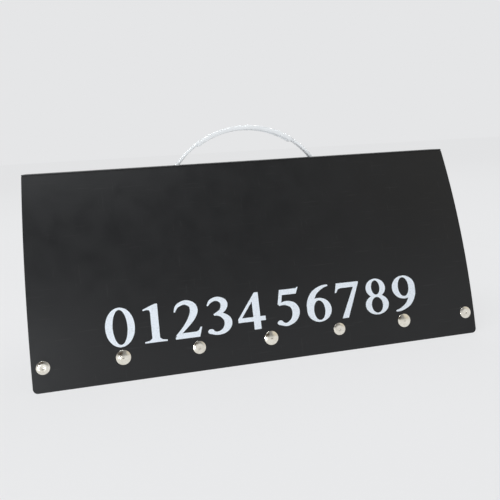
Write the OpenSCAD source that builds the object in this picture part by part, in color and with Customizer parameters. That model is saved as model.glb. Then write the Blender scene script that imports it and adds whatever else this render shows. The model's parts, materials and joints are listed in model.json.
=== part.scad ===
// Folding table-top flip score board: one scored polypropylene sheet folded into a tent,
// with snap fasteners, a carrying handle and flip number cards on binding rings.
// +X runs along the board, -Y is the plain printed side, +Z is up, and the board stands on Z = 0.

/* [Sheet] */
// Width of the sheet along the creases
board_w = 400; // [360:1:440]
// Straight height of the front panel, edge to edge
front_h = 184.3; // [170:0.1:200]
// Lean of both panels back from upright, in degrees
lean = 20.8; // [16:0.1:24]
// How far the front panel bows outwards at its middle
bow = 6.8; // [3:0.1:10]
// Thickness of the sheet
sheet_t = 1.2; // [1:0.1:1.5]
// Width of the spine strip between the two top creases
spine_w = 18; // [16:0.5:24]
// Height of the lip that stands behind the front panel
lip_h = 32; // [28:1:40]
// Radius of the free corners of the sheet
corner_r = 4; // [2:0.5:8]

/* [Snap fasteners] */
// Spacing of the seven fasteners along the bottom edge
snap_pitch = 63.6; // [60:0.1:64]
// Height of the fastener row above the bottom edge, along the sheet
snap_up = 20; // [16:0.5:24]
// Diameter of a domed cap
cap_d = 12.4; // [11:0.1:14]
// Diameter of an eyelet, stud or socket flange
flange_d = 11; // [10:0.1:12]

/* [Number cards] */
// Width and height of a large card
big_card = [74, 124]; // [60:1:130]
// Width and height of a small card
small_card = [30, 62]; // [20:1:70]
// Thickness of one card
card_t = 0.45; // [0.3:0.05:0.5]
// Cards in each deck
cards = 10; // [4:1:10]

/* [Rings and handle] */
// Radius of a binding ring, to the middle of its wire
ring_r = 11; // [11:0.5:12]
// Diameter of the ring wire
wire_d = 1.8; // [1.4:0.1:2]
// Span of the handle arch at the spine
handle_span = 134; // [120:1:140]
// Rise of the handle arch above the spine
handle_rise = 33; // [30:1:36]

/* [Hidden] */
DECKS = ["home_tens", "home_units", "home_sets", "away_sets", "away_tens", "away_units"];

black = "#26272a";
white = "#f0f3f8";
nickel = "#c8c4b8";

// Overlap that joins the parts of one solid
lap = 0.1;

// Creases. Each hinge axis lies on the inner face of the sheet. The level panel ends on it,
// with its outer edge rounded about it, and the leaning panel starts a gap further on.
crease_slack = 0.08;
crease_gap = sheet_t + crease_slack;
bow_angle = atan(4 * bow / front_h);
arc_r = (pow(front_h / 2, 2) + pow(bow, 2)) / (2 * bow);
top_lean = lean + bow_angle;

// Side view positions are [Y, Z] pairs
function along(a) = [sin(a), cos(a)];
function inward(a) = [cos(a), -sin(a)];

front_run = front_h * sin(lean) + sheet_t * cos(top_lean);
crease_z = front_h * cos(lean) - sheet_t * sin(top_lean);
rear_run = (crease_z - sheet_t) * tan(lean);
rear_len = (crease_z - sheet_t) / cos(lean);
depth = front_run + spine_w + rear_run + sheet_t;

front_foot = [-depth / 2, 0];
front_crease = [front_foot[0] + front_run, crease_z];
rear_crease = front_crease + [spine_w, 0];
foot_crease = [depth / 2 - sheet_t, sheet_t];

// The bowed panel's circle, and a point and the lean on its outer face a distance up the chord
arc_centre = front_foot + along(lean) * front_h / 2 + inward(lean) * (arc_r - bow);
function arc_turn(up) = asin((front_h / 2 - up) / arc_r);
function arc_point(up) = arc_centre - inward(lean - arc_turn(up)) * arc_r;

// Angles that the bowed sheet stops short of the crease, and runs on past its bottom edge,
// where a block of the depth below trims it level and rounds its corners
top_gap = crease_gap / (arc_r - sheet_t) * 180 / PI;
overrun = 0.3;
below = 20;

// How far the blocks that round the sheet's free corners reach past its edges
corner_over = 1;

// Fastener row on the front panel
snap_lean = lean - arc_turn(snap_up);
snap_seat = arc_point(snap_up);
stand_xs = [-2 * snap_pitch, 0, 2 * snap_pitch];
closing_xs = [-3 * snap_pitch, -snap_pitch, snap_pitch, 3 * snap_pitch];

// Fastener parts. Rounded edges have the radius edge_r, and the rims of studs and sockets
// stand rim_in inside their flanges
seat_gap = 0.05;
edge_r = 0.3;
rim_in = 0.4;
cap_rise = 2.3;
dome_inset = 0.2;
post_d = 3.6;
hole_d = 4.4;
socket_h = 2.2;
socket_floor = 0.6;
cup_wall = 1;
rim_wall = 0.6;
rim_h = 1.5;
bore_gap = 0.2;
stud_h = 3;
stud_base = 0.8;
stud_d = 5;
stud_bore = 1;
stud_wall = 0.35;
stud_neck = [0.45, 0.5];
head_r = 0.6;
open_gap = 0.4;
clear_d = 12.6;
eyelet_edge = 0.2;
eyelet_crest = 2.6;
eyelet_rise = 1.1;
eyelet_well = [1.1, 0.3];

// The lip stands parallel to the sheet at the fastener row, its studs just clear of the sockets
lip_back = 2 * sheet_t + socket_h + stud_h + open_gap + seat_gap;
lip_row = snap_seat + inward(snap_lean) * lip_back;
lip_up = (lip_row[1] - sheet_t) / cos(snap_lean);
lip_crease = lip_row - along(snap_lean) * lip_up;

// Rings and cards on the rear panel, measured up the panel and out from its outer face
ring_down = 14.4;
ring_up = rear_len - ring_down;
ring_out = 6;
ring_cross = sqrt(pow(ring_r, 2) - pow(ring_out + sheet_t / 2, 2));
grommet_d = 9.6;
grommet_bore = 5;
grommet_hole = 6.5;
grommet_rise = 0.8;
grommet_back = 0.45;
grommet_wall = 0.6;
grommet_foot = 1.4;
bead_r = 0.45;
deck_gap = 0.4;
deck_out = grommet_rise + deck_gap;
card_gap = 0.1;
card_pitch = card_t + card_gap;
card_hole_d = 4.6;
card_hole_down = 10.5;
card_edge = 6.5;
card_corner = 3;
big_rings = 46;
small_rings = 16;
margin = 7;
pair_gap = 4;
side_gap = 8;

// Deck middles along the board, in the order of DECKS
outer_x = board_w / 2 - margin - big_card[0] / 2;
inner_x = outer_x - big_card[0] - pair_gap;
sets_x = inner_x - big_card[0] / 2 - side_gap - small_card[0] / 2;
deck_x = [outer_x, inner_x, sets_x, -sets_x, -inner_x, -outer_x];
function is_small(i) = i == 2 || i == 3;
function card_size(i) = is_small(i) ? small_card : big_card;
function ring_span(i) = is_small(i) ? small_rings : big_rings;

// Handle: an arch in the X-Z plane, a thin strap at its ends and a thicker grip between.
// The strap leaves the spine through slots and ends in cross bars below it.
handle_y = front_crease[0] + spine_w / 2;
spine_top = crease_z + sheet_t;
handle_r = (pow(handle_span / 2, 2) + pow(handle_rise, 2)) / (2 * handle_rise);
handle_z = spine_top + handle_rise - handle_r;
strap_w = 8;
strap_t = 2.8;
grip_w = 12;
grip_t = 4.2;
grip_reach = 46.5;
grip_half = asin(grip_reach / handle_r);
root_angle = asin(handle_span / 2 / handle_r);
slot = [5.8, 9.4];
slot_mid = handle_span / 2 - strap_t / sin(root_angle) / 2 + sheet_t / tan(root_angle) / 2;
bar_w = 11;
bar_r = 1.4;
bar_below = 3.6;
bar_drop = sheet_t + bar_below;
strap_half = acos((spine_top - bar_drop - handle_z) / (handle_r - strap_t / 2));

// Places a side-view outline at the given width along X
module along_x(width) {
    rotate([90, 0, 90]) linear_extrude(width, center = true) children();
}

// A flat sheet strip in side view, from one distance to another up a line through p,
// with its thickness on the outer side: side is 1 for towards -Y and -1 for towards +Y
module strip(p, a, from, to, side) {
    u = along(a);
    n = inward(a) * -side;
    polygon([p + u * from, p + u * to, p + u * to + n * sheet_t, p + u * from + n * sheet_t]);
}

// A level strip between two creases, its outer edges rounded about them; low is its underside
module level_strip(a, b, low) {
    along_x(board_w) intersection() {
        union() {
            translate(a - [0, sheet_t]) square([b[0] - a[0], 2 * sheet_t]);
            translate(a) circle(sheet_t, $fn = 48);
            translate(b) circle(sheet_t, $fn = 48);
        }
        translate([a[0] - sheet_t, low]) square([b[0] - a[0] + 2 * sheet_t, sheet_t]);
    }
}

// Moves a part drawn about Z to a place on a leaning sheet: +Z points out to -Y
module on_front(x, p, a) {
    translate([x, p[0], p[1]]) rotate([90 - a, 0, 0]) children();
}

// The same for a sheet that leans the other way: +Z points out to +Y
module on_rear(x, up, out) {
    p = foot_crease + along(-lean) * up + inward(-lean) * (sheet_t + out);
    translate([x, p[0], p[1]]) rotate([lean - 90, 0, 0]) children();
}

// Square corner less its quarter round, to cut the free corners of a sheet
module corner_cut(x, z, sx, sz) {
    side = corner_r + corner_over;
    off = side / 2 - corner_over;
    rotate([90, 0, 0]) linear_extrude(3 * depth, center = true) difference() {
        translate([x + sx * off, z + sz * off]) square(side, center = true);
        translate([x + sx * corner_r, z + sz * corner_r]) circle(corner_r, $fn = 48);
    }
}

// ---- the folded sheet ----

module front_panel() color(black) difference() {
    translate([0, arc_centre[0], arc_centre[1]]) rotate([90, 0, 90])
        rotate([0, 0, 180 - lean - arc_turn(0) + top_gap])
            rotate_extrude(angle = 2 * arc_turn(0) - top_gap + overrun, $fn = 360)
                translate([arc_r - sheet_t, -board_w / 2]) square([sheet_t, board_w]);
    rotate([90, 0, 0]) linear_extrude(3 * depth, center = true) difference() {
        translate([-board_w, -below]) square([2 * board_w, below + corner_r]);
        hull() for (s = [-1, 1])
            translate([s * (board_w / 2 - corner_r), corner_r]) circle(corner_r, $fn = 64);
    }
    for (x = concat(stand_xs, closing_xs))
        on_front(x, snap_seat, snap_lean) cylinder(d = hole_d, h = 4 * sheet_t, center = true, $fn = 48);
}

module spine() color(black) difference() {
    level_strip(front_crease, rear_crease, crease_z);
    for (s = [-1, 1]) translate([s * slot_mid, handle_y, spine_top])
        cube([slot[0], slot[1], 4 * sheet_t], center = true);
}

module rear_panel() color(black) difference() {
    along_x(board_w) strip(foot_crease, -lean, crease_gap, rear_len - crease_gap, -1);
    for (x = closing_xs)
        on_rear(x, snap_up, 0) cylinder(d = hole_d, h = 4 * sheet_t, center = true, $fn = 48);
    for (i = [0 : len(DECKS) - 1], s = [-1, 1], c = [-1, 1])
        on_rear(deck_x[i] + s * ring_span(i) / 2, ring_up + c * ring_cross, 0)
            cylinder(d = grommet_hole, h = 4 * sheet_t, center = true, $fn = 48);
}

module base_flap() color(black) difference() {
    level_strip(lip_crease, foot_crease, 0);
    for (x = closing_xs) translate([x, foot_crease[0] - snap_up, 0])
        cylinder(d = clear_d, h = 4 * sheet_t, center = true, $fn = 64);
}

module base_lip() color(black) difference() {
    along_x(board_w) strip(lip_crease, snap_lean, crease_gap, lip_h, 1);
    for (x = stand_xs)
        on_front(x, lip_row, snap_lean) cylinder(d = hole_d, h = 4 * sheet_t, center = true, $fn = 48);
    for (x = closing_xs)
        on_front(x, lip_row, snap_lean) cylinder(d = clear_d, h = 4 * sheet_t, center = true, $fn = 64);
    for (s = [-1, 1]) corner_cut(s * board_w / 2, sheet_t + lip_h * cos(snap_lean), -s, -1);
}

// ---- snap fasteners, each drawn about Z with the sheet face at Z = 0 ----

// Smooth domed cap with a post that reaches through the sheet
module cap() {
    swell = cap_rise - 2 * edge_r;
    dome_r = (pow(cap_d / 2, 2) + pow(swell, 2)) / (2 * swell);
    rotate_extrude($fn = 64) {
        square([cap_d / 2 - edge_r, 2 * edge_r]);
        translate([cap_d / 2 - edge_r, edge_r]) circle(edge_r, $fn = 32);
        intersection() {
            translate([0, cap_rise - dome_r]) circle(dome_r, $fn = 128);
            translate([0, 2 * edge_r - lap]) square([cap_d / 2 - dome_inset, cap_rise]);
        }
    }
    translate([0, 0, -sheet_t - socket_floor])
        cylinder(d = post_d, h = sheet_t + socket_floor + lap, $fn = 48);
}

// Socket: a rimmed cup with a floor about the cap's post
module socket() {
    inner = post_d / 2 + seat_gap;
    rotate_extrude($fn = 64) {
        translate([inner, seat_gap]) square([flange_d / 2 - rim_in - inner, socket_floor - 2 * seat_gap]);
        translate([stud_d / 2 + bore_gap, seat_gap]) square([cup_wall, socket_h - seat_gap]);
        translate([flange_d / 2 - rim_in - rim_wall, seat_gap]) square([rim_wall, rim_h]);
        translate([flange_d / 2 - 1.5 * rim_in, seat_gap + rim_in]) circle(rim_in, $fn = 32);
    }
}

// Stud: a flange with a hollow, round-headed post
module stud() {
    inner = post_d / 2 + seat_gap;
    rotate_extrude($fn = 64) {
        translate([inner, seat_gap]) square([flange_d / 2 - rim_in - inner, stud_base - edge_r]);
        translate([flange_d / 2 - rim_in, seat_gap + edge_r]) circle(edge_r, $fn = 32);
        translate([inner, seat_gap]) square([stud_wall, stud_h - head_r]);
        translate([inner, stud_h - head_r - stud_wall]) square(stud_neck);
        translate([stud_bore, stud_h - head_r]) square([post_d / 2 - head_r, head_r]);
        translate([stud_d / 2 - head_r, stud_h - head_r]) circle(head_r, $fn = 48);
    }
}

// Eyelet: a flange that swells to a ring about a sunk middle, and a barrel that reaches
// through the sheet
module eyelet() {
    reach = (flange_d / 2 - eyelet_edge) - eyelet_crest;
    swell = eyelet_rise - 2 * eyelet_edge;
    swell_r = (pow(reach, 2) + pow(swell, 2)) / (2 * swell);
    rotate_extrude($fn = 64) {
        difference() {
            union() {
                square([flange_d / 2 - eyelet_edge, 2 * eyelet_edge]);
                translate([flange_d / 2 - eyelet_edge, eyelet_edge]) circle(eyelet_edge, $fn = 32);
                intersection() {
                    translate([eyelet_crest, eyelet_rise - swell_r]) circle(swell_r, $fn = 128);
                    translate([0, eyelet_edge]) square([flange_d / 2 - eyelet_edge, eyelet_rise]);
                }
            }
            translate([0, eyelet_well[1]]) square([eyelet_well[0], eyelet_rise]);
        }
        translate([0, eyelet_well[1] - sheet_t - stud_base])
            square([post_d / 2, sheet_t + stud_base]);
    }
}

module back_side(drop = 0) {
    translate([0, 0, -drop]) rotate([180, 0, 0]) children();
}

module stand_caps() color(nickel) for (x = stand_xs) on_front(x, snap_seat, snap_lean) cap();

module stand_sockets() color(nickel)
    for (x = stand_xs) on_front(x, snap_seat, snap_lean) back_side(sheet_t) socket();

module stand_studs() color(nickel)
    for (x = stand_xs) on_front(x, lip_row - inward(snap_lean) * sheet_t, snap_lean) stud();

module stand_eyelets() color(nickel)
    for (x = stand_xs) on_front(x, lip_row, snap_lean) back_side() eyelet();

module closing_eyelets() color(nickel)
    for (x = closing_xs) on_front(x, snap_seat, snap_lean) eyelet();

module closing_studs() color(nickel)
    for (x = closing_xs) on_front(x, snap_seat, snap_lean) back_side(sheet_t) stud();

module closing_sockets() color(nickel)
    for (x = closing_xs) on_rear(x, snap_up, 0) back_side(sheet_t) socket();

module closing_caps() color(nickel) for (x = closing_xs) on_rear(x, snap_up, 0) cap();

// ---- number cards ----

module grommet() {
    bore = grommet_bore / 2;
    rim = grommet_d / 2 - edge_r;
    rotate_extrude($fn = 48) {
        translate([bore, -sheet_t - grommet_back]) square([grommet_wall, sheet_t + grommet_back + lap]);
        translate([bore, seat_gap]) square([rim - bore, grommet_rise - edge_r]);
        translate([bore + bead_r + seat_gap, grommet_rise - bead_r]) circle(bead_r, $fn = 32);
        translate([rim, edge_r + seat_gap]) circle(edge_r - seat_gap, $fn = 32);
        translate([bore, -sheet_t - grommet_back]) square([grommet_foot, grommet_back - seat_gap]);
    }
}

module ring_grommets() color(nickel)
    for (i = [0 : len(DECKS) - 1], s = [-1, 1], c = [-1, 1])
        on_rear(deck_x[i] + s * ring_span(i) / 2, ring_up + c * ring_cross, 0) grommet();

module rings(i) color(nickel)
    for (s = [-1, 1]) on_rear(deck_x[i] + s * ring_span(i) / 2, ring_up, ring_out)
        rotate([0, 90, 0]) rotate_extrude($fn = 96) translate([ring_r, 0]) circle(wire_d / 2, $fn = 32);

module card_outline(size) {
    difference() {
        union() {
            square([size[0] - 2 * card_corner, size[1]], center = true);
            square([size[0], size[1] - 2 * card_corner], center = true);
            for (sx = [-1, 1], sy = [-1, 1])
                translate([sx * (size[0] / 2 - card_corner), sy * (size[1] / 2 - card_corner)])
                    circle(card_corner, $fn = 48);
        }
        children();
    }
}

// Card number k of a deck, counted out from the panel
module card(i, k) {
    size = card_size(i);
    middle = card_hole_down - card_edge + size[1] / 2;
    on_rear(deck_x[i], ring_up - middle, deck_out + k * card_pitch)
        linear_extrude(card_t) card_outline(size)
            for (s = [-1, 1]) translate([s * ring_span(i) / 2, card_edge - size[1] / 2])
                circle(d = card_hole_d, $fn = 48);
}

module deck(i) color(white) for (k = [0 : cards - 2]) card(i, k);

module front_card(i) color(white) card(i, cards - 1);

// ---- handle ----

// A stretch of the arch, with its outer face on the arch
module arch(width, thick, half_angle) {
    translate([0, handle_y, handle_z]) rotate([90, 0, 0]) rotate([0, 0, 90 - half_angle])
        rotate_extrude(angle = 2 * half_angle, $fn = 240) translate([handle_r - thick, -width / 2])
            square([thick, width]);
}

module carry_handle() color(white) {
    arch(strap_w, strap_t, strap_half);
    arch(grip_w, grip_t, grip_half);
    for (s = [-1, 1])
        translate([s * (handle_r - strap_t / 2) * sin(strap_half), handle_y, spine_top - bar_drop])
            rotate([90, 0, 0]) cylinder(r = bar_r, h = bar_w, center = true, $fn = 32);
}

base_flap();
base_lip();
rear_panel();
spine();
front_panel();
carry_handle();
stand_caps();
stand_sockets();
stand_studs();
stand_eyelets();
closing_eyelets();
closing_studs();
closing_sockets();
closing_caps();
ring_grommets();
rings(0);  // home_tens_rings
rings(1);  // home_units_rings
rings(2);  // home_sets_rings
rings(3);  // away_sets_rings
rings(4);  // away_tens_rings
rings(5);  // away_units_rings
deck(0);  // home_tens_deck
deck(1);  // home_units_deck
deck(2);  // home_sets_deck
deck(3);  // away_sets_deck
deck(4);  // away_tens_deck
deck(5);  // away_units_deck
front_card(0);  // home_tens_front_card
front_card(1);  // home_units_front_card
front_card(2);  // home_sets_front_card
front_card(3);  // away_sets_front_card
front_card(4);  // away_tens_front_card
front_card(5);  // away_units_front_card
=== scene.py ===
import json
import math
from collections import Counter

import bpy
from mathutils import Matrix, Quaternion, Vector, geometry
from mathutils.bvhtree import BVHTree


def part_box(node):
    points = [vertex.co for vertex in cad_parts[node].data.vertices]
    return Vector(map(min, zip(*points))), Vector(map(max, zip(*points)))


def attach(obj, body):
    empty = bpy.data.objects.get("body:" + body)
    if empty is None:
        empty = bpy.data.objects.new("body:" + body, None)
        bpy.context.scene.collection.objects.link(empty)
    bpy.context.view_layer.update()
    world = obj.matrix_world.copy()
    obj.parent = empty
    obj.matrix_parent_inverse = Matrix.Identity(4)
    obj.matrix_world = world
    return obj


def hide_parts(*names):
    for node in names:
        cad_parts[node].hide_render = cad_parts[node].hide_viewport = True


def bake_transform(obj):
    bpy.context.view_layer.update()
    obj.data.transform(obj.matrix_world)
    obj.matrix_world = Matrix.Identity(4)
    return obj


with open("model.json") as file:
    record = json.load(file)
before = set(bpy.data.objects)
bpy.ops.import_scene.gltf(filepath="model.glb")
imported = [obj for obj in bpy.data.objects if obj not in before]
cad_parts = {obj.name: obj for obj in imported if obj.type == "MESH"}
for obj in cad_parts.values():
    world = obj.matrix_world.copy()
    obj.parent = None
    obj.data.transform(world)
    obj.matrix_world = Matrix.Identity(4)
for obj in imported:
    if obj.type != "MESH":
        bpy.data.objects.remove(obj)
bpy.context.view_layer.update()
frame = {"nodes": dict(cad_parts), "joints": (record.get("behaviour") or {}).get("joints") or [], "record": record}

# Looks for a folding table-top flip score board, in metres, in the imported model's own frame:
# +X runs along the board, -Y is the printed side, +Y the number cards' side, +Z is up.

MM = 0.001
NODES = frame["nodes"]
AXIS = {j["name"]: Vector(j["pos_m"]) for j in frame["joints"]}
DECKS = ["home_tens", "home_units", "home_sets", "away_sets", "away_tens", "away_units"]

# Camera: before the printed side, left of its middle, looking a little to the right and down
CAMERA_AT = Vector((-0.0947, -0.4768, 0.1836))
CAMERA_FORWARD = Vector((0.1895, 0.9618, -0.1974))
CAMERA_ROLL = math.radians(-3.31)
CAMERA_LENS = 36
CAMERA_SENSOR = 36
CAMERA_NEAR = 0.01

# Print on the front panel; its numerals are cut at each slice, so that they bend with the panel
NUMERAL_W = 39 * MM
NUMERAL_H = 32 * MM
NUMERAL_FOOT = 29.2 * MM
NUMERAL_LEFT = -140.5 * MM
NUMERAL_PITCH = 28.1 * MM
GROUP_GAP = 6 * MM
PRINT_RISE = 0.06 * MM
PRINT_SINK = 0.04 * MM
SLICE = 3 * MM
PROFILE_X = 30 * MM
PROFILE_STEPS = 60

# Digits on the cards
BIG_DIGIT = (46 * MM, 84 * MM)
SMALL_DIGIT = (19 * MM, 36 * MM)
CARD_INK_RISE = 0.03 * MM
DIGIT_DROP = 4 * MM

# Scored folds: places across the groove in shares of its width, faces in shares of the sheet's thickness
WEB_ALONG = (-0.35, 0.2, 0.6, 1.0, 1.35)
WEB_BACK = 0.42
WEB_FRONT = 0.72
WEB_END_INSET = 0.15 * MM

# Handle: its outer face sinks by more than its crown, so that it stays inside the CAD one
HANDLE_SPAN = 134 * MM
STRAP_HALF_W = 4 * MM
STRAP_T = 2.8 * MM
GRIP_HALF_W = 6 * MM
GRIP_T = 4.2 * MM
GRIP_REACH = 46.5 * MM
CHANNEL_DEPTH = 2.7 * MM
CHANNEL_WALL = 1.7 * MM
CHANNEL_START = 2.2 * MM
CHANNEL_RAMP = 3 * MM
CHANNEL_DRAFT = 0.3 * MM
MOUTH_CHAMFER = 0.2 * MM
FOOT_CHAMFER = 0.45 * MM
HANDLE_CORNER = 0.75 * MM
HANDLE_CROWN = 0.12 * MM
CROWN_SINK = 0.13 * MM
STEP_LENGTH = 1.6 * MM
BAR_LENGTH = 11 * MM
BAR_R = 1.4 * MM
BAR_TIP_R = 0.02 * MM
HANDLE_STEPS = 220
CORNER_STEPS = 4
HANDLE_SHARP = math.radians(50)

# Binding rings: angles go round a ring from +Y, upwards
WIRE_R = 0.9 * MM
HINGE_AT = math.radians(8)
HINGE_LENGTH = 3.0 * MM
HINGE_R = 1.25 * MM
HINGE_SINK = 0.15 * MM
HINGE_PROFILE = ((-0.5, 0.8), (-0.46, 1.0), (-0.18, 1.0), (-0.16, 0.88), (-0.14, 1.0), (0.14, 1.0),
                 (0.16, 0.88), (0.18, 1.0), (0.46, 1.0), (0.5, 0.8))
SLEEVE_AT = math.radians(74)
SLEEVE_HALF = 0.17
SLEEVE_R = 1.02 * MM
SLEEVE_SWELL = 0.16 * MM
SLEEVE_STEPS = 14
FITTING_SHARP = math.radians(40)

# Number of points on a full round outline, on a pen stroke's stretch and on small round parts
ROUND = 64
STROKE_STEPS = 8
BAR_ROUND = 24
FITTING_ROUND = 20

# Room: grey by the height of the direction, then patches (toward, start, end, colour) over it
ROOM_GREYS = ((0.22, 0.785), (0.38, 0.40), (0.55, 0.27), (0.9, 0.24))
ROOM_TINT = (1.0, 1.003, 1.012)
ROOM_PATCHES = (
    ((-0.40, -0.66, 0.635), 0.90, 0.97, (0.05, 0.035, 0.02, 1)),
    ((0.72, -0.40, 0.57), 0.86, 0.97, (0.72, 0.68, 0.60, 1)),
    ((0.0, 1.0, 0.0), -0.15, 0.15, (0.785, 0.79, 0.80, 1)),
)
FLOOR_R = 60.0
FLOOR_SIDES = 24
FLOOR_DROP = 0.2 * MM


# ---- materials ----

def color_ramp(tree, source, stops):
    """A colour by the value of source; each stop is a position and a grey or a colour."""
    node = tree.nodes.new("ShaderNodeValToRGB")
    elements = node.color_ramp.elements
    while len(elements) < len(stops):
        elements.new(0.5)
    for element, (position, value) in zip(elements, stops):
        element.position = position
        element.color = (*value, 1) if isinstance(value, tuple) else (value, value, value, 1)
    tree.links.new(source, node.inputs["Fac"])
    return node.outputs["Color"]


class Shader:
    """A material while it is made: its Principled shader, and noise in the object's own space."""

    def __init__(self, name, **values):
        self.material = bpy.data.materials.new(name)
        self.material.use_nodes = True
        self.tree = self.material.node_tree
        self.bsdf = self.tree.nodes["Principled BSDF"]
        self.place = self.tree.nodes.new("ShaderNodeTexCoord").outputs["Object"]
        for socket, value in values.items():
            self.bsdf.inputs[socket.replace("_", " ")].default_value = value

    def link(self, output, socket):
        self.tree.links.new(output, self.bsdf.inputs[socket])

    def noise(self, scale, detail=4.0, stretch=(1, 1, 1), turn=(0, 0, 0)):
        mapping = self.tree.nodes.new("ShaderNodeMapping")
        mapping.inputs["Scale"].default_value = stretch
        mapping.inputs["Rotation"].default_value = turn
        texture = self.tree.nodes.new("ShaderNodeTexNoise")
        texture.inputs["Scale"].default_value = scale
        texture.inputs["Detail"].default_value = detail
        self.tree.links.new(self.place, mapping.inputs["Vector"])
        self.tree.links.new(mapping.outputs["Vector"], texture.inputs["Vector"])
        return texture.outputs["Fac"]

    def ramp(self, source, *stops):
        return color_ramp(self.tree, source, stops)

    def blend(self, mode, first, second, factor):
        node = self.tree.nodes.new("ShaderNodeMix")
        node.data_type = "RGBA"
        node.blend_type = mode
        node.inputs["Factor"].default_value = factor
        self.tree.links.new(first, node.inputs["A"])
        self.tree.links.new(second, node.inputs["B"])
        return node.outputs["Result"]

    def bump(self, *heights):
        normal = None
        for source, strength, distance in heights:
            node = self.tree.nodes.new("ShaderNodeBump")
            node.inputs["Strength"].default_value = strength
            node.inputs["Distance"].default_value = distance
            self.tree.links.new(source, node.inputs["Height"])
            if normal is not None:
                self.tree.links.new(normal, node.inputs["Normal"])
            normal = node.outputs["Normal"]
        self.link(normal, "Normal")


def black_sheet():
    """Polypropylene sheet: a fine even grain, slow blotches in its sheen, faint rubbed scratches."""
    s = Shader("black_sheet", Specular_IOR_Level=0.38)
    blotch = s.ramp(s.noise(9, 3), (0.3, (0.006, 0.0064, 0.0074)), (0.7, (0.0085, 0.009, 0.0102)))
    rub_a = s.ramp(s.noise(30, 2, (1, 26, 26), (0, 0.5, 0.2)), (0.66, 0.0), (0.72, 0.012))
    rub_b = s.ramp(s.noise(22, 2, (30, 1, 3), (0, 0.2, 0.3)), (0.68, 0.0), (0.74, 0.01))
    s.link(s.blend("ADD", s.blend("ADD", blotch, rub_a, 0.6), rub_b, 0.6), "Base Color")
    s.link(s.ramp(s.noise(60, 5), (0.35, 0.40), (0.65, 0.50)), "Roughness")
    s.bump((s.noise(2600, 2), 0.25, 0.00006), (s.noise(14, 2), 0.12, 0.0006))
    return s.material


def moulded_white(name, color):
    """White polyethylene moulding: a soft satin face with slow flow marks."""
    s = Shader(name, Specular_IOR_Level=0.4)
    low = tuple(0.96 * c for c in color)
    s.link(s.ramp(s.noise(80, 3, (1, 3, 3)), (0.3, low), (0.7, color)), "Base Color")
    s.link(s.ramp(s.noise(240, 4), (0.3, 0.34), (0.7, 0.46)), "Roughness")
    s.bump((s.noise(900, 3), 0.08, 0.00003), (s.noise(120, 2), 0.15, 0.0001))
    return s.material


def plated(name, bright, dull, roughness):
    """Nickel plating: fine hairlines, and duller blotches where it has been handled."""
    s = Shader(name, Metallic=1.0)
    s.link(s.ramp(s.noise(260, 4), (0.3, dull), (0.6, bright)), "Base Color")
    s.link(s.ramp(s.noise(700, 4), (0.3, roughness), (0.7, roughness + 0.08)), "Roughness")
    s.bump((s.noise(1500, 3, (1, 14, 1)), 0.03, 0.00001), (s.noise(300, 2), 0.03, 0.00003))
    return s.material


def card_plastic():
    """White calendered card plastic: even, a little warm, with a soft satin grain."""
    s = Shader("number_cards", Specular_IOR_Level=0.4)
    s.link(s.ramp(s.noise(25, 4), (0.3, (0.83, 0.83, 0.80)), (0.7, (0.90, 0.90, 0.88))), "Base Color")
    s.link(s.ramp(s.noise(300, 3), (0.3, 0.32), (0.7, 0.42)), "Roughness")
    s.bump((s.noise(1800, 2), 0.18, 0.00005), (s.noise(18, 2), 0.15, 0.0008))
    return s.material


def ink(name, color):
    """Screen-printed ink: a solid film with a fine mesh texture and thin spots."""
    s = Shader(name, Specular_IOR_Level=0.4)
    thin = tuple(0.86 * c for c in color)
    s.link(s.ramp(s.noise(900, 4), (0.32, thin), (0.5, color)), "Base Color")
    s.link(s.ramp(s.noise(400, 3), (0.3, 0.42), (0.7, 0.55)), "Roughness")
    s.bump((s.noise(3200, 2), 0.2, 0.00004))
    return s.material


def floor_finish():
    """Pale matt ground, lit from itself so that it stays even far out, with slight slow mottling."""
    s = Shader("floor", Specular_IOR_Level=0.0, Roughness=1.0, Emission_Strength=0.9,
               Emission_Color=(0.785, 0.79, 0.80, 1))
    s.link(s.ramp(s.noise(3, 2), (0.3, (0.10, 0.10, 0.101)), (0.7, (0.104, 0.104, 0.105))), "Base Color")
    return s.material


MATERIALS = {
    "black_sheet": black_sheet(),
    "white_handle": moulded_white("white_handle", (0.93, 0.955, 0.975)),
    "snap_caps": plated("snap_caps", (0.90, 0.87, 0.78), (0.80, 0.76, 0.66), 0.14),
    "snap_parts": plated("snap_parts", (0.88, 0.85, 0.77), (0.76, 0.72, 0.63), 0.18),
    "grommets": plated("grommets", (0.78, 0.78, 0.77), (0.58, 0.58, 0.57), 0.28),
    "rings": plated("rings", (0.84, 0.84, 0.83), (0.66, 0.66, 0.65), 0.18),
    "number_cards": card_plastic(),
    "white_print": ink("white_print", (0.80, 0.86, 0.93)),
    "red_print": ink("red_print", (0.52, 0.015, 0.02)),
    "blue_print": ink("blue_print", (0.02, 0.055, 0.30)),
    "black_print": ink("black_print", (0.015, 0.015, 0.017)),
}


# ---- meshes ----

def piece(name, points, faces, body, slot, smooth=False):
    """A new mesh piece that rides on a body and takes its finish from a slot."""
    mesh = bpy.data.meshes.new(name)
    mesh.from_pydata([tuple(p) for p in points], [], faces)
    mesh.validate()
    mesh.update()
    mesh.polygons.foreach_set("use_smooth", [smooth] * len(mesh.polygons))
    obj = bpy.data.objects.new(name, mesh)
    bpy.context.scene.collection.objects.link(obj)
    mesh.materials.append(MATERIALS[slot])
    if body:
        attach(obj, body)
    return obj


def turns(count):
    """Angles evenly round a circle."""
    return [2 * math.pi * k / count for k in range(count)]


def loft(rings):
    """Points and quads through rings of points, capped at both ends."""
    count = len(rings[0])
    points = [p for ring in rings for p in ring]
    faces = []
    for r in range(len(rings) - 1):
        for k in range(count):
            n = (k + 1) % count
            faces.append((r * count + k, r * count + n, (r + 1) * count + n, (r + 1) * count + k))
    faces.append(tuple(reversed(range(count))))
    faces.append(tuple((len(rings) - 1) * count + k for k in range(count)))
    return points, faces


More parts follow.
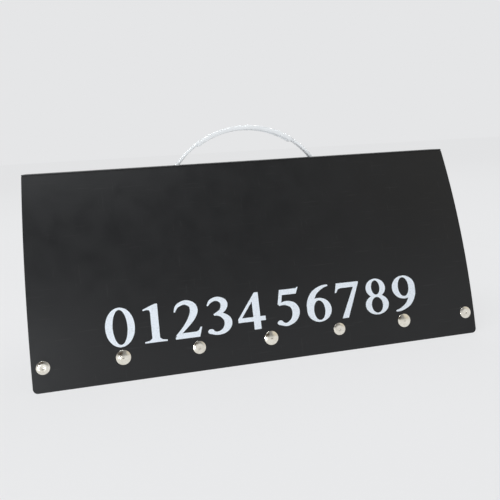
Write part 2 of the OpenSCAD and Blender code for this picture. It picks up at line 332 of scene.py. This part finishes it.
def join(*parts):
    """Several (points, faces) lists as one."""
    points, faces = [], []
    for some_points, some_faces in parts:
        start = len(points)
        points += some_points
        faces += [tuple(start + i for i in f) for f in some_faces]
    return points, faces


def plate(inks, holes, place, low, high, slices=()):
    """A thin closed plate in the shape of flat outlines less their holes. place(u, v, h) puts a
    point in space; slices are heights v at which the plate may bend."""
    points, faces, edges = [], [], []
    for loop in inks + holes:
        around = list(range(len(points), len(points) + len(loop)))
        turn = sum(a[0] * b[1] - b[0] * a[1] for a, b in zip(loop, loop[1:] + loop[:1]))
        faces.append(around if turn > 0 else around[::-1])
        points += [Vector(p) for p in loop]
    left = min(p.x for p in points) - MM
    right = max(p.x for p in points) + MM
    for v in slices:
        edges.append((len(points), len(points) + 1))
        points += [Vector((left, v)), Vector((right, v))]
    flat, _, triangles, _, _, sources = geometry.delaunay_2d_cdt(points, edges, faces, 0, 1e-8)
    kept = []
    for triangle, ids in zip(triangles, sources):
        if ids and max(ids) < len(inks):
            kept.append(triangle)
    used = sorted({i for t in kept for i in t})
    top = {i: k for k, i in enumerate(used)}
    bottom = {i: k + len(used) for k, i in enumerate(used)}
    solid = [tuple(top[i] for i in t) for t in kept]
    solid += [tuple(bottom[i] for i in reversed(t)) for t in kept]
    sides = Counter((t[k], t[(k + 1) % 3]) for t in kept for k in range(3))
    for a, b in sides:
        if (b, a) not in sides:
            solid.append((top[b], top[a], bottom[a], bottom[b]))
    placed = [place(flat[i].x, flat[i].y, high) for i in used]
    placed += [place(flat[i].x, flat[i].y, low) for i in used]
    return placed, solid


# ---- outlines of numerals: one unit high, standing on v = 0 ----

def ellipse(u, v, ru, rv, power=2.0):
    """An ellipse, squarer with a power over 2."""
    bend = 2 / power
    return [(u + ru * math.copysign(abs(math.cos(t)) ** bend, math.cos(t)),
             v + rv * math.copysign(abs(math.sin(t)) ** bend, math.sin(t))) for t in turns(ROUND)]


def curve(knots):
    """A Catmull-Rom curve through knots of any dimension."""
    ends = [knots[0], *knots, knots[-1]]
    out = []
    for k in range(1, len(ends) - 2):
        p = [Vector(ends[k + d]) for d in (-1, 0, 1, 2)]
        for i in range(STROKE_STEPS):
            t = i / STROKE_STEPS
            out.append(0.5 * (2 * p[1] + (p[2] - p[0]) * t + (2 * p[0] - 5 * p[1] + 4 * p[2] - p[3]) * t * t
                              + (3 * p[1] - p[0] - 3 * p[2] + p[3]) * t * t * t))
    return out + [Vector(knots[-1])]


def stroke(knots):
    """A pen stroke: knots are (u, v, width) along its middle."""
    line = curve(knots)
    left, right = [], []
    for k, p in enumerate(line):
        ahead = line[min(k + 1, len(line) - 1)] - line[max(k - 1, 0)]
        side = Vector((-ahead.y, ahead.x)).normalized() * p.z / 2
        left.append((p.x + side.x, p.y + side.y))
        right.append((p.x - side.x, p.y - side.y))
    return right + left[::-1]


def half_turn(loops, u, v):
    """Outlines turned upside down about a point."""
    return [[(2 * u - p[0], 2 * v - p[1]) for p in loop] for loop in loops]


SIX = (
    [ellipse(0.33, 0.32, 0.295, 0.335),
     stroke([(0.585, 0.985, 0.04), (0.43, 0.945, 0.09), (0.24, 0.80, 0.135), (0.135, 0.56, 0.165),
             (0.12, 0.32, 0.165)])],
    [ellipse(0.335, 0.31, 0.135, 0.275)],
)
NUMERALS = [
    ([ellipse(0.325, 0.5, 0.31, 0.515)], [ellipse(0.325, 0.5, 0.155, 0.455)]),
    ([[(0.10, 0), (0.58, 0), (0.58, 0.035), (0.48, 0.055), (0.425, 0.11), (0.425, 1.01), (0.36, 1.01),
       (0.10, 0.885), (0.11, 0.85), (0.19, 0.87), (0.245, 0.855), (0.26, 0.80), (0.26, 0.11),
       (0.205, 0.055), (0.10, 0.035)]], []),
    ([stroke([(0.055, 0.72, 0.03), (0.13, 0.88, 0.08), (0.30, 0.955, 0.115), (0.45, 0.87, 0.15),
              (0.485, 0.71, 0.17), (0.42, 0.52, 0.15), (0.27, 0.30, 0.10), (0.075, 0.075, 0.07)]),
      [(0.04, 0), (0.57, 0), (0.635, 0.26), (0.60, 0.26), (0.555, 0.175), (0.50, 0.145), (0.10, 0.145),
       (0.04, 0.04)]], []),
    ([stroke([(0.07, 0.79, 0.03), (0.15, 0.91, 0.08), (0.29, 0.955, 0.11), (0.42, 0.88, 0.145),
              (0.445, 0.76, 0.155), (0.38, 0.62, 0.12), (0.20, 0.525, 0.05)]),
      stroke([(0.20, 0.545, 0.04), (0.37, 0.51, 0.11), (0.49, 0.38, 0.165), (0.495, 0.22, 0.17),
              (0.40, 0.08, 0.13), (0.24, 0.03, 0.085), (0.10, 0.085, 0.10)]),
      ellipse(0.105, 0.095, 0.07, 0.065)], []),
    ([[(0.36, 0), (0.52, 0), (0.52, 0.225), (0.64, 0.225), (0.64, 0.345), (0.52, 0.345), (0.52, 1.01),
       (0.43, 1.01), (0.01, 0.325), (0.01, 0.225), (0.36, 0.225)]],
     [[(0.36, 0.345), (0.36, 0.77), (0.10, 0.345)]]),
    ([[(0.145, 1.0), (0.54, 1.0), (0.575, 1.035), (0.595, 1.03), (0.53, 0.85), (0.20, 0.85), (0.165, 0.645),
       (0.10, 0.60), (0.075, 0.60)],
      stroke([(0.10, 0.58, 0.04), (0.26, 0.62, 0.11), (0.43, 0.54, 0.16), (0.49, 0.35, 0.175),
              (0.42, 0.14, 0.14), (0.25, 0.03, 0.09), (0.10, 0.085, 0.10)]),
      ellipse(0.10, 0.095, 0.07, 0.065)], []),
    SIX,
    ([[(0.08, 1.0), (0.63, 1.0), (0.63, 0.965), (0.30, 0), (0.145, 0), (0.49, 0.855), (0.17, 0.855),
       (0.11, 0.83), (0.065, 0.735), (0.03, 0.735)]], []),
    ([ellipse(0.325, 0.745, 0.245, 0.27), ellipse(0.325, 0.27, 0.29, 0.285)],
     [ellipse(0.325, 0.76, 0.105, 0.205), ellipse(0.325, 0.26, 0.14, 0.225)]),
    (half_turn(SIX[0], 0.325, 0.5), half_turn(SIX[1], 0.325, 0.5)),
]
BLOCK_ZERO = ([ellipse(0.5, 0.5, 0.5, 0.5, 3.2)], [ellipse(0.5, 0.5, 0.21, 0.335, 2.8)])
BLOCK_ONE = ([[(0.36, 0), (0.66, 0), (0.66, 1), (0.47, 1), (0.40, 0.93), (0.29, 0.88), (0.14, 0.86),
               (0.14, 0.72), (0.36, 0.72)]], [])


def scaled(loops, width, height, u, v):
    """Outlines brought to a size and moved to a place."""
    return [[(u + p[0] * width, v + p[1] * height) for p in loop] for loop in loops]


# ---- print on the bowed front panel ----

def panel_profile():
    """(distance up the sheet, y, z) on the front panel's outer face, in a clear column between snaps."""
    node = NODES["front_panel"]
    points = [v.co for v in node.data.vertices]
    tree = BVHTree.FromPolygons(points, [p.vertices[:] for p in node.data.polygons])
    low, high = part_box("front_panel")
    before = low.y - 100 * MM
    out = [(0.0, low.y, low.z)]
    for k in range(1, PROFILE_STEPS):
        z = low.z + (high.z - low.z) * k / PROFILE_STEPS
        hit = tree.ray_cast(Vector((PROFILE_X, before, z)), Vector((0, 1, 0)))[0]
        out.append((out[-1][0] + math.hypot(hit.y - out[-1][1], z - out[-1][2]), hit.y, z))
    return out


PROFILE = panel_profile()


def on_panel(x, up, out):
    """A point at x, a distance up the front panel's outer face and a height out from it."""
    k = next((i for i, p in enumerate(PROFILE) if p[0] >= up), len(PROFILE) - 1)
    a, b = PROFILE[max(k - 1, 0)], PROFILE[max(k, 1)]
    share = (up - a[0]) / (b[0] - a[0])
    along = Vector((0, b[1] - a[1], b[2] - a[2])).normalized()
    y = a[1] + (b[1] - a[1]) * share
    z = a[2] + (b[2] - a[2]) * share
    return Vector((x, y, z)) + Vector((0, -along.z, along.y)) * out


def front_numerals():
    """The numerals 0 to 9 in two groups of five, laid on the bowed face."""
    slices = [NUMERAL_FOOT + SLICE * k for k in range(int(NUMERAL_H / SLICE) + 1)]
    for digit, (inks, holes) in enumerate(NUMERALS):
        left = NUMERAL_LEFT + NUMERAL_PITCH * digit + (GROUP_GAP if digit > 4 else 0)
        shape = plate(
            scaled(inks, NUMERAL_W, NUMERAL_H, left, NUMERAL_FOOT),
            scaled(holes, NUMERAL_W, NUMERAL_H, left, NUMERAL_FOOT),
            on_panel, -PRINT_SINK, PRINT_RISE, slices,
        )
        piece(f"print_{digit}", *shape, "front_panel", "white_print")


# ---- digits on the cards ----

UP_REAR = (AXIS["spine_fold"] - AXIS["rear_panel_fold"]).normalized()
OUT_REAR = Vector((0, UP_REAR.z, -UP_REAR.y))


def card_digit(node, body, shape, size, slot):
    """One digit on the outer face of a card; seen from +Y, so u runs towards -X."""
    low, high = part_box(node)
    middle = (low + high) / 2
    face = max(v.co.dot(OUT_REAR) for v in NODES[node].data.vertices)
    origin = middle + OUT_REAR * (face - middle.dot(OUT_REAR)) - UP_REAR * DIGIT_DROP

    def place(u, v, h):
        return origin - Vector((u, 0, 0)) + UP_REAR * v + OUT_REAR * h

    inks, holes = (scaled(loops, *size, -size[0] / 2, -size[1] / 2) for loops in shape)
    solid = plate(inks, holes, place, -CARD_INK_RISE, CARD_INK_RISE)
    piece(f"{node}_digit", *solid, body, slot)


def card_digits():
    """0 on each front card and 1 on the deck behind it."""
    for deck in DECKS:
        small = deck.endswith("sets")
        size = SMALL_DIGIT if small else BIG_DIGIT
        slot = "black_print" if small else ("red_print" if deck.startswith("home") else "blue_print")
        card_digit(f"{deck}_front_card", f"{deck}_front_card", BLOCK_ZERO, size, slot)
        card_digit(f"{deck}_deck", f"{deck}_deck", BLOCK_ONE, size, slot)


# ---- scored folds: a thin web closes the groove beside each crease ----

def scored_fold(joint, panel):
    """The web runs from inside the crease's bead to inside the panel that starts past the groove."""
    axis = AXIS[joint]
    corners = {}
    for vertex in NODES[panel].data.vertices:
        flat = Vector((0, vertex.co.y, vertex.co.z)) - Vector((0, axis.y, axis.z))
        corners[(round(flat.y, 6), round(flat.z, 6))] = flat
    near, far = sorted(corners.values(), key=lambda c: c.length)[:2]
    along, out = near.normalized(), (far - near).normalized()
    gap, sheet = near.length, (far - near).length
    low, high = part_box(panel)
    section = [(s * gap, WEB_BACK * sheet) for s in WEB_ALONG]
    section += [(s * gap, WEB_FRONT * sheet) for s in reversed(WEB_ALONG)]
    rings = []
    for x in (low.x + WEB_END_INSET, high.x - WEB_END_INSET):
        rings.append([Vector((x, axis.y, axis.z)) + along * s + out * h for s, h in section])
    web = piece(f"{joint}_web", *loft(rings), None, "black_sheet")
    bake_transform(web)


def scored_folds():
    """The four creases: joint, the panel with the bead and the panel past the groove."""
    scored_fold("front_panel_swing", "front_panel")
    scored_fold("spine_fold", "rear_panel")
    scored_fold("rear_panel_fold", "rear_panel")
    scored_fold("base_lip_fold", "base_lip")


# ---- handle ----

def smooth_step(t):
    """0 to 1 with level ends, for t from 0 to 1."""
    t = min(max(t, 0.0), 1.0)
    return t * t * (3 - 2 * t)


def handle_section(half_w, thick, channel):
    """The arch's section, (across, out). The outer face, at out = 0, has two rounded corners and a slight
    crown; the inner face has a channel between two walls."""
    quarter = [math.pi / 2 * k / CORNER_STEPS for k in range(CORNER_STEPS + 1)]
    left = [(HANDLE_CORNER * (1 - math.cos(t)) - half_w, HANDLE_CORNER * (math.sin(t) - 1))
            for t in quarter]
    right = [(-across, out) for across, out in reversed(left)]
    wall = half_w - CHANNEL_WALL
    mouth = min(channel, MOUTH_CHAMFER) - thick
    roof = channel - thick
    down = [(half_w, FOOT_CHAMFER - thick), (half_w - FOOT_CHAMFER, -thick), (wall + MOUTH_CHAMFER, -thick),
            (wall, mouth), (wall - CHANNEL_DRAFT, roof)]
    up = [(-across, out) for across, out in reversed(down)]
    return left + [(0.0, HANDLE_CROWN)] + right + down + [(0.0, roof)] + up


def capsule(centre, length, radius):
    """A bar along Y with rounded ends."""
    rings = []
    for k in range(-CORNER_STEPS, CORNER_STEPS + 1):
        t = math.pi / 2 * k / CORNER_STEPS
        end = math.copysign(length / 2 - radius, k) if k else 0.0
        y = end + radius * math.sin(t)
        r = max(radius * math.cos(t), BAR_TIP_R)
        rings.append([centre + Vector((r * math.cos(a), y, r * math.sin(a))) for a in turns(BAR_ROUND)])
    return loft(rings)


def handle():
    """The carrying handle with its channelled grip, in place of the CAD one."""
    low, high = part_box("carry_handle")
    spine_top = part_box("spine")[1].z
    rise = high.z - spine_top
    radius = ((HANDLE_SPAN / 2) ** 2 + rise ** 2) / (2 * rise)
    centre = Vector((0, (low.y + high.y) / 2, high.z - radius))
    bar_z = low.z + BAR_R
    reach = math.acos((bar_z - centre.z) / (radius - STRAP_T / 2))
    grip_reach = math.asin(GRIP_REACH / radius)
    rings = []
    for k in range(HANDLE_STEPS + 1):
        angle = -reach + 2 * reach * k / HANDLE_STEPS
        past = (grip_reach - abs(angle)) * radius
        grip = math.sqrt(smooth_step(past / STEP_LENGTH + 0.5))
        channel = CHANNEL_DEPTH * smooth_step((past - CHANNEL_START) / CHANNEL_RAMP)
        half_w = STRAP_HALF_W + (GRIP_HALF_W - STRAP_HALF_W) * grip
        thick = STRAP_T + (GRIP_T - STRAP_T) * grip
        out = Vector((math.sin(angle), 0, math.cos(angle)))
        rings.append([centre + out * (radius - CROWN_SINK + h) + Vector((0, w, 0))
                      for w, h in handle_section(half_w, thick - CROWN_SINK, channel)])
    parts = [loft(rings)]
    for side in (-1, 1):
        at = centre + Vector((side * math.sin(reach), 0, math.cos(reach))) * (radius - STRAP_T / 2)
        parts.append(capsule(at, BAR_LENGTH, BAR_R))
    obj = piece("handle", *join(*parts), "carry_handle", "white_handle", smooth=True)
    obj.data.set_sharp_from_angle(angle=HANDLE_SHARP)
    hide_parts("carry_handle")


# ---- binding rings' hinges and clasps ----

def snap_sleeve(centre, ring_r):
    """A ring's closing sleeve: a short tube round the wire, a little fatter in its middle."""
    rings = []
    for k in range(SLEEVE_STEPS + 1):
        share = k / SLEEVE_STEPS
        turn = SLEEVE_AT + SLEEVE_HALF * (2 * share - 1)
        out = Vector((0, math.cos(turn), math.sin(turn)))
        r = SLEEVE_R + SLEEVE_SWELL * math.sin(math.pi * share) ** 0.5
        rings.append([centre + out * (ring_r + r * math.cos(a)) + Vector((r * math.sin(a), 0, 0))
                      for a in turns(FITTING_ROUND)])
    return loft(rings)


def hinge_knuckles(centre, ring_r):
    """A ring's hinge: a short bar along X with two grooves between its knuckles."""
    middle = centre + Vector((0, math.cos(HINGE_AT), math.sin(HINGE_AT))) * (ring_r - HINGE_SINK)
    rings = []
    for along, share in HINGE_PROFILE:
        r = share * HINGE_R
        rings.append([middle + Vector((along * HINGE_LENGTH, r * math.cos(a), -r * math.sin(a)))
                      for a in turns(FITTING_ROUND)])
    return loft(rings)


def ring_fittings():
    """Each ring opens on a small hinge and closes with a snap sleeve."""
    for deck in DECKS:
        low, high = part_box(f"{deck}_rings")
        axis = AXIS[f"{deck}_deck_flip"]
        ring_r = (high.z - low.z) / 2 - WIRE_R
        parts = []
        for x in (low.x + WIRE_R, high.x - WIRE_R):
            centre = Vector((x, axis.y, axis.z))
            parts += [hinge_knuckles(centre, ring_r), snap_sleeve(centre, ring_r)]
        obj = piece(f"{deck}_ring_fittings", *join(*parts), "rear_panel", "rings", smooth=True)
        obj.data.set_sharp_from_angle(angle=FITTING_SHARP)


# ---- stage ----

def aim(obj, at, forward, roll=0.0):
    """Puts a lamp or camera at a place, looking forward."""
    turn = forward.to_track_quat("-Z", "Y") @ Quaternion((0, 0, 1), roll)
    obj.matrix_world = Matrix.Translation(at) @ turn.to_matrix().to_4x4()


def softbox(name, at, target, size, power, color=(1, 1, 1), spread=180):
    """A rectangular lamp that the camera doesn't see; spread is the angle that its light stays in."""
    light = bpy.data.lights.new(name, "AREA")
    light.spread = math.radians(spread)
    light.shape = "RECTANGLE"
    light.size, light.size_y = size
    light.energy = power
    light.color = color
    obj = bpy.data.objects.new(name, light)
    bpy.context.scene.collection.objects.link(obj)
    obj.visible_camera = False
    aim(obj, Vector(at), Vector(target) - Vector(at))


def room():
    """The world: a pale room, greyer overhead, with a dark and a warm patch that plated parts mirror."""
    world = bpy.data.worlds.new("studio")
    bpy.context.scene.world = world
    world.use_nodes = True
    tree = world.node_tree
    direction = tree.nodes.new("ShaderNodeTexCoord").outputs["Generated"]
    split = tree.nodes.new("ShaderNodeSeparateXYZ")
    tree.links.new(direction, split.inputs["Vector"])
    stops = [(height, tuple(grey * tint for tint in ROOM_TINT)) for height, grey in ROOM_GREYS]
    color = color_ramp(tree, split.outputs["Z"], stops)
    for toward, start, end, tint in ROOM_PATCHES:
        dot = tree.nodes.new("ShaderNodeVectorMath")
        dot.operation = "DOT_PRODUCT"
        dot.inputs[1].default_value = toward
        share = tree.nodes.new("ShaderNodeMapRange")
        share.inputs["From Min"].default_value = start
        share.inputs["From Max"].default_value = end
        mix = tree.nodes.new("ShaderNodeMix")
        mix.data_type = "RGBA"
        mix.inputs["B"].default_value = tint
        tree.links.new(direction, dot.inputs[0])
        tree.links.new(dot.outputs["Value"], share.inputs["Value"])
        tree.links.new(share.outputs["Result"], mix.inputs["Factor"])
        tree.links.new(color, mix.inputs["A"])
        color = mix.outputs["Result"]
    tree.links.new(color, tree.nodes["Background"].inputs["Color"])


def floor():
    """A wide flat disc just under the model's feet."""
    mesh = bpy.data.meshes.new("floor")
    rim = [(FLOOR_R * math.cos(a), FLOOR_R * math.sin(a), 0) for a in turns(FLOOR_SIDES)]
    faces = [(0, 1 + k, 1 + (k + 1) % FLOOR_SIDES) for k in range(FLOOR_SIDES)]
    mesh.from_pydata([(0, 0, 0)] + rim, [], faces)
    mesh.materials.append(floor_finish())
    obj = bpy.data.objects.new("floor", mesh)
    bpy.context.scene.collection.objects.link(obj)
    obj.location.z = -FLOOR_DROP


def camera():
    """The main view."""
    obj = bpy.data.objects.new("camera", bpy.data.cameras.new("camera"))
    bpy.context.scene.collection.objects.link(obj)
    obj.data.lens = CAMERA_LENS
    obj.data.sensor_width = CAMERA_SENSOR
    obj.data.clip_start = CAMERA_NEAR
    aim(obj, CAMERA_AT, CAMERA_FORWARD, CAMERA_ROLL)
    bpy.context.scene.camera = obj
    bpy.context.scene.view_settings.view_transform = "Standard"


def studio():
    """Room, lamps, floor and camera."""
    room()
    softbox("key", (-0.8, -0.35, 2.15), (0, 0, 0.1), (1.1, 1.1), 23, (0.94, 0.975, 1.0))
    softbox("window", (-1.35, -1.9, 0.30), (-0.15, 0, 0.03), (0.24, 0.18), 0.62, (0.93, 0.97, 1.0), 40)
    softbox("rear", (0.5, 1.7, 2.3), (0, 0, 0.1), (1.4, 1.0), 14)
    floor()
    camera()


for entry in frame["record"]["subparts"]:
    node = NODES[entry["node"]]
    node.data.materials.clear()
    node.data.materials.append(MATERIALS[entry["material_slot"]])

front_numerals()
card_digits()
scored_folds()
handle()
ring_fittings()
studio()
